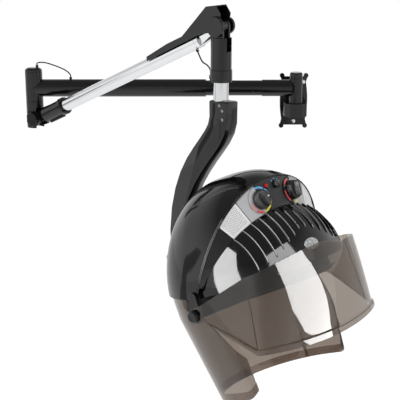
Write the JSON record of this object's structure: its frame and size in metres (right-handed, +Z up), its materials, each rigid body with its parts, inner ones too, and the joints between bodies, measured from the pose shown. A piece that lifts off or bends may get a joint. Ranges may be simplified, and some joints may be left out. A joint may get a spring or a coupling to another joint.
{
  "type": "wall-mounted hood hair dryer",
  "caption": "Salon hood dryer with a hinged smoke visor and control panel, hung from a neck on a folding, spring-balanced wall arm that swings, lifts, swivels and tilts.",
  "frame": {"origin": "middle of the wall plate's back face", "axes": "+Y into the wall, +Z up, +X to the right of someone facing the wall"},
  "size_m": [0.7842, 0.7211, 0.7944],
  "materials": {
    "wall_plate": "satin black paint",
    "hinge_pin": "black cap over a steel pin",
    "wall_screw_1": "zinc plated",
    "wall_screw_2": "zinc plated",
    "wall_screw_3": "zinc plated",
    "arm_hub": "satin black paint",
    "inner_tube": "satin black paint",
    "outer_tube": "satin black paint",
    "elbow_sleeve": "satin black paint",
    "elbow_cap": "gloss black",
    "tube_grommet": "matt black",
    "elbow_lead": "matt black sheath",
    "elbow_knuckle": "satin black paint",
    "elbow_washer": "plain steel",
    "lift_bolt": "black",
    "lift_nut": "black",
    "arm_collet": "gloss black",
    "spring_arm_tube": "bright chrome",
    "balance_spring": "spring steel",
    "head_block": "black",
    "head_cover": "gloss black",
    "arm_grommet": "matt black",
    "head_post": "satin black paint",
    "head_axle": "black cap on a steel axle",
    "axle_cap": "gloss black",
    "post_collar": "gloss black",
    "head_lead": "matt black sheath",
    "swivel_tube": "bright chrome",
    "neck": "gloss black",
    "hinge_bracket": "gloss black",
    "tilt_pin": "gloss black",
    "tilt_knob": "gloss black",
    "rear_shell": "gloss black",
    "seam_trim": "silver",
    "front_shell": "gloss black",
    "control_panel": "dark grey",
    "left_grille": "silver grille",
    "right_grille": "silver grille",
    "left_cheek": "gloss black",
    "right_cheek": "gloss black",
    "lamp_lens": "red lens",
    "front_badge": "blank grey",
    "left_ear_tab": "gloss black",
    "right_ear_tab": "gloss black",
    "skirt": "clear smoke",
    "liner": "black",
    "heater_ring": "plain",
    "fan_deck": "grey",
    "fan_motor": "grey",
    "timer_dial": "grey with coloured arcs",
    "timer_unit": "plain",
    "heat_dial": "grey with coloured arcs",
    "thermostat_unit": "plain",
    "visor": "clear smoke",
    "left_pivot_button": "gloss black",
    "right_pivot_button": "gloss black",
    "fan_wheel": "grey",
    "timer_knob": "satin black",
    "heat_knob": "satin black",
    "selector_knob": "satin black"
  },
  "bodies": {
    "bracket": {"wall_plate": "wall_plate", "hinge_pin": "hinge_pin", "wall_screw_1": "wall_screw_1", "wall_screw_2": "wall_screw_2", "wall_screw_3": "wall_screw_3"},
    "swing_arm": {"arm_hub": "arm_hub", "inner_tube": "inner_tube", "outer_tube": "outer_tube", "elbow_sleeve": "elbow_sleeve", "elbow_cap": "elbow_cap", "tube_grommet": "tube_grommet", "elbow_lead": "elbow_lead"},
    "knuckle": {"elbow_knuckle": "elbow_knuckle", "elbow_washer": "elbow_washer", "lift_bolt": "lift_bolt", "lift_nut": "lift_nut"},
    "spring_arm": {"arm_collet": "arm_collet", "spring_arm_tube": "spring_arm_tube", "balance_spring": "balance_spring", "head_block": "head_block", "head_cover": "head_cover", "arm_grommet": "arm_grommet"},
    "post": {"head_post": "head_post", "head_axle": "head_axle", "axle_cap": "axle_cap", "post_collar": "post_collar", "head_lead": "head_lead"},
    "neck": {"swivel_tube": "swivel_tube", "neck": "neck"},
    "hood": {"hinge_bracket": "hinge_bracket", "tilt_pin": "tilt_pin", "tilt_knob": "tilt_knob", "rear_shell": "rear_shell", "seam_trim": "seam_trim", "front_shell": "front_shell", "control_panel": "control_panel", "left_grille": "left_grille", "right_grille": "right_grille", "left_cheek": "left_cheek", "right_cheek": "right_cheek", "lamp_lens": "lamp_lens", "front_badge": "front_badge", "left_ear_tab": "left_ear_tab", "right_ear_tab": "right_ear_tab", "skirt": "skirt", "liner": "liner", "heater_ring": "heater_ring", "fan_deck": "fan_deck", "fan_motor": "fan_motor", "timer_dial": "timer_dial", "timer_unit": "timer_unit", "heat_dial": "heat_dial", "thermostat_unit": "thermostat_unit"},
    "visor": {"visor": "visor", "left_pivot_button": "left_pivot_button", "right_pivot_button": "right_pivot_button"},
    "fan": {"fan_wheel": "fan_wheel"},
    "timer": {"timer_knob": "timer_knob"},
    "heat": {"heat_knob": "heat_knob"},
    "selector": {"selector_knob": "selector_knob"}
  },
  "joints": [
    {"name": "arm_swing", "type": "hinge", "parent": "bracket", "child": "swing_arm", "pos_m": [0, -0.058, 0.04], "axis": [0, 0, 1], "range_deg": [0, 170]},
    {"name": "elbow_swing", "type": "hinge", "parent": "swing_arm", "child": "knuckle", "pos_m": [-0.625, -0.058, 0.04], "axis": [0, 0, 1], "range_deg": [-140, 6]},
    {"name": "arm_lift", "type": "hinge", "parent": "knuckle", "child": "spring_arm", "pos_m": [-0.61397, -0.06662, -0.031], "axis": [-0.6157, -0.788, 0], "range_deg": [-38, 15]},
    {"name": "post_level", "type": "hinge", "parent": "spring_arm", "child": "post", "pos_m": [-0.18603, -0.40096, 0.22303], "axis": [-0.6157, -0.788, 0], "range_deg": [-15, 38], "deforming": ["head_lead"]},
    {"name": "hood_swivel", "type": "hinge", "parent": "post", "child": "neck", "pos_m": [-0.18603, -0.40096, 0.07303], "axis": [0, 0, 1], "range_deg": [-150, 150]},
    {"name": "hood_tilt", "type": "hinge", "parent": "neck", "child": "hood", "pos_m": [-0.27065, -0.32205, -0.29027], "axis": [0.682, 0.7314, 0], "range_deg": [-4, 26]},
    {"name": "visor_lift", "type": "hinge", "parent": "hood", "child": "visor", "pos_m": [-0.10554, -0.47602, -0.31299], "axis": [-0.682, -0.7314, 0], "range_deg": [0, 25]},
    {"name": "timer_turn", "type": "hinge", "parent": "hood", "child": "timer", "pos_m": [-0.11106, -0.53871, -0.10057], "axis": [0.5427, -0.7198, 0.4328], "range_deg": [0, 300]},
    {"name": "heat_turn", "type": "hinge", "parent": "hood", "child": "heat", "pos_m": [-0.04338, -0.46614, -0.10057], "axis": [0.7559, -0.4912, 0.4328], "range_deg": [0, 280]},
    {"name": "selector_turn", "type": "hinge", "parent": "hood", "child": "selector", "pos_m": [-0.07791, -0.49448, -0.08003], "axis": [0.666, -0.6008, 0.4421], "range_deg": [-45, 45]},
    {"name": "fan_spin", "type": "hinge", "parent": "hood", "child": "fan", "pos_m": [-0.15006, -0.4345, -0.21085], "axis": [-0.3091, 0.2882, 0.9063], "continuous": true}
  ],
  "couplings": [
    {"joint": "post_level", "follows": "arm_lift", "ratio": -1}
  ]
}
